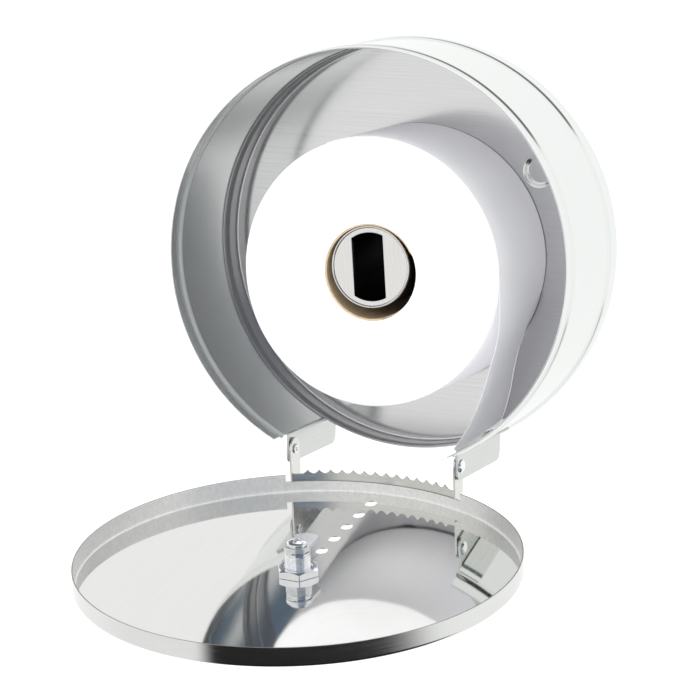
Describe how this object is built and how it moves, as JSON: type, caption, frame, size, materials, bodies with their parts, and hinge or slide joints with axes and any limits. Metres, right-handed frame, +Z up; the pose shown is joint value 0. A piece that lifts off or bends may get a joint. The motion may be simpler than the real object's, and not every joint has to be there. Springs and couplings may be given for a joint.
{
  "type": "jumbo toilet paper dispenser",
  "caption": "Round wall-mounted steel drum for a jumbo toilet roll, with a bottom-hinged locking cover hanging open, a serrated tear blade and a hollow roll spindle.",
  "frame": {"origin": "centre of the four wall-screw holes, on the wall plane, which is also where the drum's axis meets the wall", "axes": "+Z up, +Y into the wall along the drum's axis, -Y towards the person using it, +X to that person's right"},
  "size_m": [0.2776, 0.3408, 0.3413],
  "materials": {
    "drum_steel": "brushed stainless sheet, satin",
    "cover_steel": "stainless sheet, polished bright inside, satin on the rim",
    "bracket_steel": "satin stainless sheet",
    "spindle_steel": "fine brushed stainless",
    "plated_fastener": "bright zinc plate",
    "lock_chrome": "bright chrome on die-cast zinc",
    "lock_brass": "stamped brass",
    "kraft_board": "raw brown kraft board",
    "tissue_paper": "soft white tissue"
  },
  "bodies": {
    "drum": {"back_pan": "drum_steel", "drum_band": "drum_steel", "hinge_bracket_left": "bracket_steel", "hinge_bracket_right": "bracket_steel", "hinge_rivets": "plated_fastener", "hinge_washers": "plated_fastener", "spindle_flange": "spindle_steel", "spindle_tube": "spindle_steel", "spindle_cap": "spindle_steel", "spindle_screws": "plated_fastener", "spindle_nuts": "plated_fastener", "paper_tail": "tissue_paper"},
    "roll": {"roll_core": "kraft_board", "paper_roll": "tissue_paper"},
    "cover": {"cover_pan": "cover_steel", "tear_blade": "cover_steel", "lock_barrel": "lock_chrome", "lock_nut": "lock_chrome"},
    "lock_core": {"lock_plug": "lock_chrome", "lock_wafers": "lock_brass", "lock_springs": "plated_fastener", "lock_stop_washer": "lock_chrome", "lock_cam": "lock_chrome", "lock_spring_washer": "plated_fastener", "lock_screw": "plated_fastener"}
  },
  "joints": [
    {"name": "cover_hinge", "type": "hinge", "parent": "drum", "child": "cover", "pos_m": [0, -0.077, -0.1315], "axis": [1, 0, 0], "range_deg": [-99.6, 0]},
    {"name": "roll_spin", "type": "hinge", "parent": "drum", "child": "roll", "pos_m": [0, -0.05, -0.0086], "axis": [0, 1, 0], "continuous": true},
    {"name": "lock_turn", "type": "hinge", "parent": "cover", "child": "lock_core", "pos_m": [0, -0.20181, -0.18212], "axis": [0, -0.1668, 0.986], "range_deg": [-90, 0]}
  ]
}
